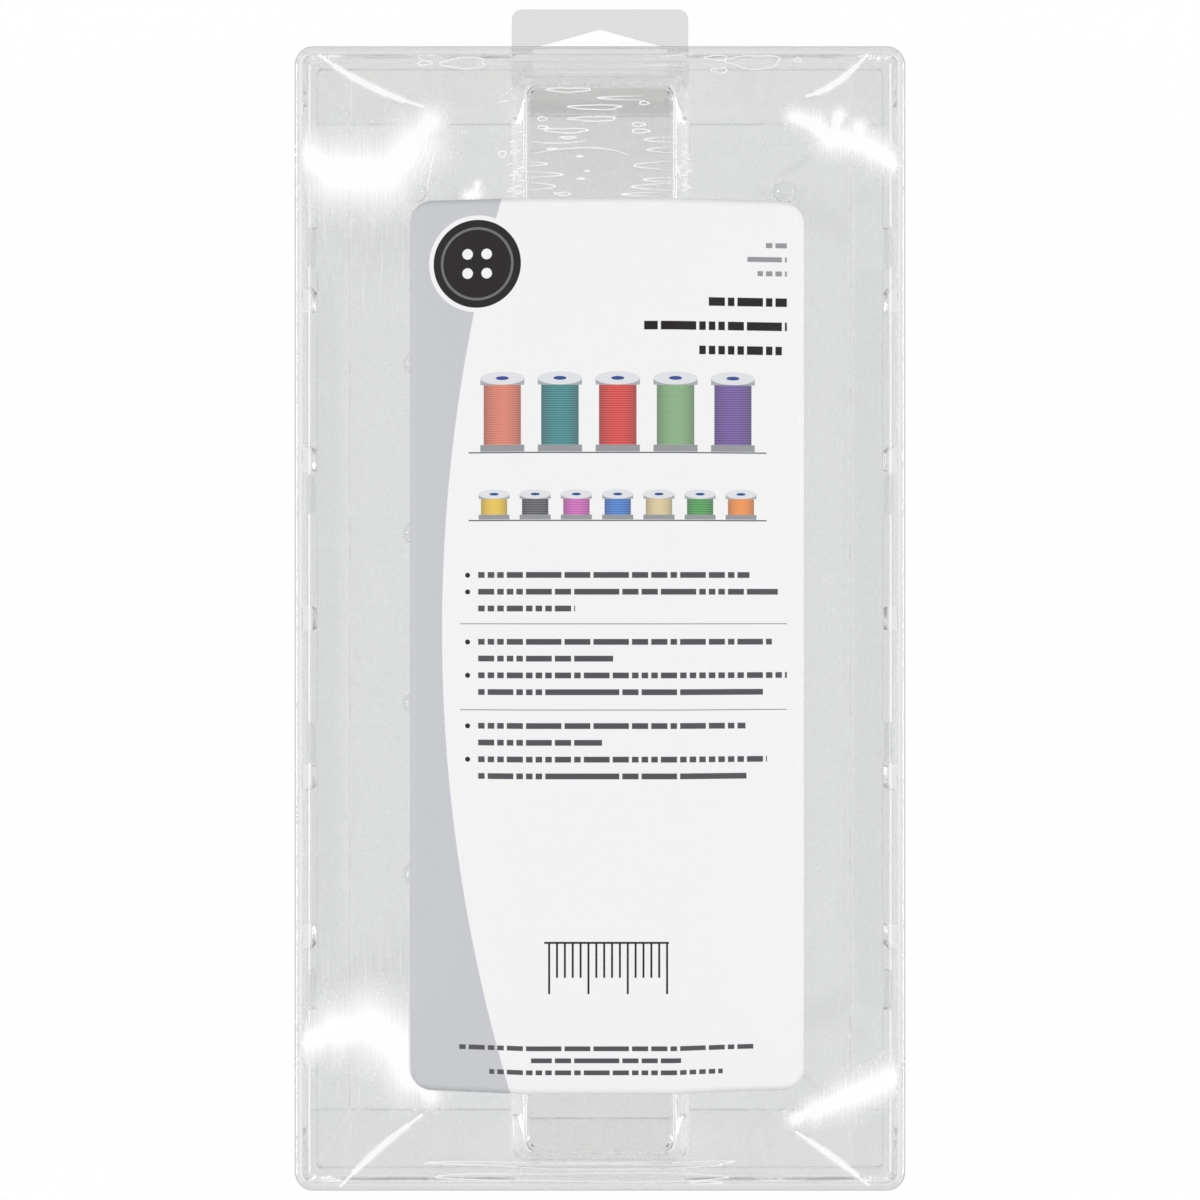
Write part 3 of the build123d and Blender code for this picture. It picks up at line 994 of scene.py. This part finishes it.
# %% Print the label
paper = screen(240, 240, 241)
band_grey = screen(198, 199, 203)
print_black = screen(38, 34, 35)
bar_grey = screen(84, 84, 88)
pale_bar_grey = screen(150, 151, 154)
spool_threads = [
    screen(214, 120, 96), screen(40, 128, 132), screen(208, 48, 40),
    screen(126, 168, 120), screen(104, 72, 150),
]
bobbin_threads = [
    screen(226, 190, 60), screen(84, 84, 90), screen(200, 96, 180), screen(52, 120, 196),
    screen(216, 196, 150), screen(60, 150, 70), screen(232, 140, 60),
]
band_centre = (282.6, -2.4)
band_radius = 313.9
button_centre = (-24.3, 70.2)
button_radius, button_margin = 8.7, 0.9
ring_inset = 1.7
hole_offset, hole_radius = 1.9, 1.05
tick_pitch, tick_rise = 1.55, 3.2       # every fifth tick is longer by the rise


def label_finish():
    """Coated paper with plain print."""
    finish = new_finish("printed_label")
    x, y, _ = millimetres(finish)
    button = disc(x, y, *button_centre, button_radius)
    sheet = lay(finish, band_grey, [
        (disc(x, y, *band_centre, band_radius), paper),
        (disc(x, y, *button_centre, button_radius + button_margin), paper),
        (button, print_black),
    ])
    ring = abs(button + ring_inset) - 0.25
    sheet = finish.blend(ink(ring) * 0.5, sheet, pale_bar_grey)
    hole_x = abs(x - button_centre[0])
    hole_y = abs(y - button_centre[1])
    hole = disc(hole_x, hole_y, hole_offset, hole_offset, hole_radius)
    sheet = lay(finish, sheet, [(hole, paper)])

    sheet = shelf(finish, x, y, sheet, -25.0, 33.0, 11.4, 7.4, 14.5, spool_threads)
    sheet = shelf(finish, x, y, sheet, -25.0, 19.6, 8.14, 5.2, 5.0, bobbin_threads)
    layers = [(block(x, y, 3.5, shelf_y, 29.5, 0.12), bar_grey) for shelf_y in (32.8, 19.4)]

    titles = [(20.9, 37.1), (8.7, 37.1), (19.1, 36.2)]
    layers.append((bars(finish, x, y, 65.1, 4.8, titles, 1.7), print_black))
    small = [(32.5, 37.1), (29.2, 37.1), (31.2, 37.1)]
    layers.append((bars(finish, x, y, 75.4, 2.8, small, 1.0), pale_bar_grey))
    blocks = [
        (10.3, [(-24.1, 29.6), (-24.1, 35.3), (-24.1, -4.9)]),
        (-2.9, [(-24.1, 34.1), (-24.1, 2.6), (-24.1, 37.1), (-24.1, 32.7)]),
        (-19.5, [(-24.1, 28.8), (-24.1, 0.4), (-24.1, 33.1), (-24.1, 29.0)]),
    ]
    for top, lines in blocks:
        layers.append((bars(finish, x, y, top, 3.31, lines, 1.15), bar_grey))
    for dot_y in (8.6, 5.3, -4.6, -11.2, -21.2, -27.8):
        layers.append((disc(x, y, -26.2, dot_y, 0.5), print_black))
    for rule_y in (-1.0, -18.0):
        layers.append((block(x, y, 4.7, rule_y, 32.4, 0.1), pale_bar_grey))
    foot = [(-28.2, 30.4), (-13.6, 16.0), (-21.9, 24.3)]
    layers.append((bars(finish, x, y, -83.6, 2.37, foot, 0.95), bar_grey))

    tick_x = x + 10.8
    tick = abs((tick_x / tick_pitch).fraction() - 0.5) * tick_pitch - 0.2
    tall = ((tick_x / (5 * tick_pitch)).fraction() * 5).floor().lower(1) * tick_rise
    ticks = tick.higher(block(x, y, 1.3, -69.2, 12.3, 5.2)).higher(tall - 74.0 - y)
    layers += [(ticks, print_black), (block(x, y, 1.3, -63.9, 12.3, 0.2), print_black)]
    sheet = lay(finish, sheet, layers)

    tooth = finish.noise(finish.place(), 2600.0, 2.0)
    sockets = {
        "Base Color": sheet,
        "Roughness": 0.42 + 0.1 * tooth,
        "Specular IOR Level": 0.2,
        "Normal": finish.bump(tooth, 0.004 * MM),
    }
    return finish.output(finish.node("ShaderNodeBsdfPrincipled", {}, sockets))


label.data.materials.append(label_finish())

# %% [markdown]
# ## The hang tab
#
# The hang tab is one strip of stiff clear sheet: bonded to the end wall, bent outwards, and
# creased so that its flap can fold. It is cut flat, as a die would cut it, with round corners
# and a house-shaped hook hole. Then cuts are made across it at every row where it has to bend,
# and the flat strip is wrapped onto the bent one.


# %% Cut the tab flat
def rounded_outline(corners, steps=6):
    """Points round a polygon whose corners, (x, y, radius), are arcs."""
    points = []
    for index, (x, y, radius) in enumerate(corners):
        corner = np.array([x, y])
        before = np.array(corners[index - 1][:2]) - corner
        after = np.array(corners[(index + 1) % len(corners)][:2]) - corner
        before /= np.linalg.norm(before)
        after /= np.linalg.norm(after)
        middle = (before + after) / np.linalg.norm(before + after)
        half = math.acos(np.dot(before, after)) / 2
        centre = corner + middle * radius / math.sin(half)
        start = corner + before * radius / math.tan(half) - centre
        end = corner + after * radius / math.tan(half) - centre
        for step in range(steps + 1):
            share = step / steps
            way = start * (1 - share) + end * share
            points.append(centre + way / np.linalg.norm(way) * radius)
    return points


tab_sheet = flap_high.z - flap_low.z
tab_middle_z = (flap_low.z + flap_high.z) / 2
end_taper = 4.3 * MM
wall_foot_y = tub_high.y - end_taper
wall_slope = end_taper / tub_high.z
wall_lean = math.atan(wall_slope)
bond = 0.05 * MM
bend_radius = 0.45 * MM

wall_face_y = wall_foot_y + (bond + tab_sheet / 2) / math.cos(wall_lean)
bend_z = tab_middle_z + bend_radius
bend_y = wall_face_y + wall_slope * bend_z + bend_radius / math.cos(wall_lean)
bend_top_z = bend_z + bend_radius * math.sin(wall_lean)
wall_run = (foot_high.z - bend_top_z) / math.cos(wall_lean)
bend_run = bend_radius * (math.pi / 2 + wall_lean)
flat_run = flap_high.y - bend_y
strip_length = wall_run + bend_run + flat_run

half_width = flap_high.x
foot_corner, flap_corner, hole_corner = 2.0 * MM, 2.2 * MM, 1.4 * MM
hole_half, hole_margin, hole_peak, hole_side = 14.5 * MM, 4.3 * MM, 4.0 * MM, 4.6 * MM
strip = [
    (-half_width, 0, foot_corner), (half_width, 0, foot_corner),
    (half_width, strip_length, flap_corner), (-half_width, strip_length, flap_corner),
]
peak = strip_length - hole_margin
eaves = peak - hole_peak
sill = eaves - hole_side
hole = [
    (0, peak, hole_corner), (-hole_half, eaves, hole_corner), (-hole_half, sill, hole_corner),
    (hole_half, sill, hole_corner), (hole_half, eaves, hole_corner),
]
cut = bpy.data.curves.new("tab_cut", "CURVE")
cut.dimensions = "2D"
cut.fill_mode = "BOTH"
for corners in (strip, hole):
    spline = cut.splines.new("POLY")
    outline = rounded_outline(corners)
    spline.points.add(len(outline) - 1)
    for point, place in zip(spline.points, outline):
        point.co = (place[0] / MM, place[1] / MM, 0, 1)
    spline.use_cyclic_u = True
pattern = bpy.data.objects.new("tab_cut", cut)
tab_mesh = bpy.data.meshes.new_from_object(pattern)
bpy.data.objects.remove(pattern)
print("tab strip, mm:", round(2 * half_width / MM, 1), "x", round(strip_length / MM, 1))

# %% Bend the tab
bend_cuts = 9
gauge_share = 0.9               # a little thinner than its solid, so that it stays inside
lip_end = foot_high.y
flap_start = flap_low.y
rows = list(np.linspace(wall_run, wall_run + bend_run, bend_cuts))
rows += list(np.linspace(lip_end, flap_start, bend_cuts) - bend_y + wall_run + bend_run)
sheet = bmesh.new()
sheet.from_mesh(tab_mesh)
for row in rows:
    everything = [*sheet.verts, *sheet.edges, *sheet.faces]
    bmesh.ops.bisect_plane(
        sheet, geom=everything, plane_co=(0, row / MM, 0), plane_no=(0, 1, 0)
    )
for vertex in sheet.verts:
    along = vertex.co.y * MM
    if along < wall_run:
        y = bend_y - bend_radius * math.cos(wall_lean) + (wall_run - along) * math.sin(wall_lean)
        z = bend_top_z + (wall_run - along) * math.cos(wall_lean)
    elif along < wall_run + bend_run:
        angle = math.pi - wall_lean + (along - wall_run) / bend_radius
        y = bend_y + bend_radius * math.cos(angle)
        z = bend_z + bend_radius * math.sin(angle)
    else:
        y = bend_y + along - wall_run - bend_run
        z = tab_middle_z
    vertex.co = (vertex.co.x * MM, y, z)
bmesh.ops.recalc_face_normals(sheet, faces=sheet.faces)
sheet.to_mesh(tab_mesh)
sheet.free()
tab = add_object("hang_tab_sheet", tab_mesh)
gauge = tab.modifiers.new("gauge", "SOLIDIFY")
gauge.thickness = gauge_share * tab_sheet
gauge.offset = 0.0
tab_mesh.materials.append(
    clear_plastic("tab_plastic", grey(0.765), 3 * MM, 30 * MM, 0.004 * MM)
)
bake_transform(tab)
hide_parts("hang_tab_foot", "hang_tab_flap")
print("tab:", len(tab_mesh.vertices), "points")

# %% [markdown]
# ## Floor, light and camera
#
# Clear plastic shows whatever is round it, so the studio matters as much as the finish. The
# floor is pale and reads as plain white to the camera, also in reflections and through the
# plastic, but a share of it stays an ordinary lit surface, which keeps the box's soft shadow.
# The room is white low down and darker overhead. Level faces mirror the dark ceiling, so the
# lid looks grey. Light that has wandered through the plastic sees a white room on all sides,
# which keeps thick edges soft.


# %% Make the floor and the room
floor_half = 3.0
floor_drop = 0.2 * MM
floor_white = 0.975             # the rest of the floor stays an ordinary lit surface


def rays_seen(finish):
    """1 for rays from the camera, mirrored rays and rays through glass, and 1 for the last."""
    camera_ray = finish.node("ShaderNodeLightPath", {}, {}, "Is Camera Ray")
    outputs = camera_ray.socket.node.outputs
    mirrored = Value(finish, outputs["Is Glossy Ray"])
    through = Value(finish, outputs["Is Transmission Ray"])
    return camera_ray.higher(mirrored).higher(through), through


def floor_finish():
    """A pale floor that reads as white and keeps a soft shadow."""
    finish = new_finish("studio_floor")
    lit = finish.node("ShaderNodeBsdfDiffuse", {}, {"Color": grey(0.93)})
    white = finish.node("ShaderNodeEmission", {}, {"Color": grey(1.0), "Strength": 1.0})
    seen, _ = rays_seen(finish)
    return finish.output(finish.mixed(seen * floor_white, lit, white))


floor_mesh = bpy.data.meshes.new("studio_floor")
floor_corners = [(-floor_half, -floor_half), (floor_half, -floor_half)]
floor_corners += [(floor_half, floor_half), (-floor_half, floor_half)]
floor_points = [(x, y, cad_low.z - floor_drop) for x, y in floor_corners]
floor_mesh.from_pydata(floor_points, [], [(0, 1, 2, 3)])
floor = add_object("studio_floor", floor_mesh)
floor_mesh.materials.append(floor_finish())

room = Finish(bpy.data.worlds.new("studio_room"))
way = room.node("ShaderNodeTexCoord", {}, {}, "Generated")
_, _, upward = room.axes(way)
ceiling = {"stops": [(0.35, grey(1.0)), (0.9, grey(0.4))]}
shown = room.node("ShaderNodeValToRGB", ceiling, {"Fac": upward})
seen, through = rays_seen(room)
shown = room.blend(through, shown, grey(0.935))
light = room.blend(seen, grey(0.42), shown)
room.output(room.node("ShaderNodeBackground", {}, {"Color": light}), "ShaderNodeOutputWorld")
bpy.context.scene.world = room.owner

# %% [markdown]
# Two softboxes stand beside the box, well to the side. The film's slopes mirror what is 20 to 35
# degrees off the vertical, so lamps 57 degrees off it stay out of them, and only creases and
# rounded edges catch them as thin white lines.
#
# A ray may bounce along inside a clear wall many times before it gets out. Cycles gives up after
# a few bounces and leaves black there, so the limits are raised.

# %% Hang the softboxes and aim the camera
lamp_reach = 1.25
lamp_height = 0.8
lamp_sides = (0.35, 0.9)
lamp_power = 13.4
for turn in (0, math.pi):
    lamp = bpy.data.lights.new("softbox", "AREA")
    lamp.shape = "RECTANGLE"
    lamp.size, lamp.size_y = lamp_sides
    lamp.energy = lamp_power
    holder = add_object("softbox", lamp)
    holder.location = (lamp_reach * math.cos(turn), lamp_reach * math.sin(turn), lamp_height)
    holder.rotation_euler = (0, math.atan2(lamp_reach, lamp_height), turn)

paths = bpy.context.scene.cycles
paths.max_bounces = 48
paths.glossy_bounces = 32
paths.transmission_bounces = 48
paths.transparent_max_bounces = 32

camera_place = (0.0, 0.0037, 0.767)     # straight above the box, just past its middle
camera_lens = 105.0
camera_data = bpy.data.cameras.new("camera")
camera_data.lens = camera_lens
camera_data.clip_start = 0.01
camera = add_object("camera", camera_data)
camera.location = camera_place
bpy.context.scene.camera = camera
bpy.context.scene.view_settings.view_transform = "Standard"
print("camera", tuple(camera.location), "lens", camera_data.lens)
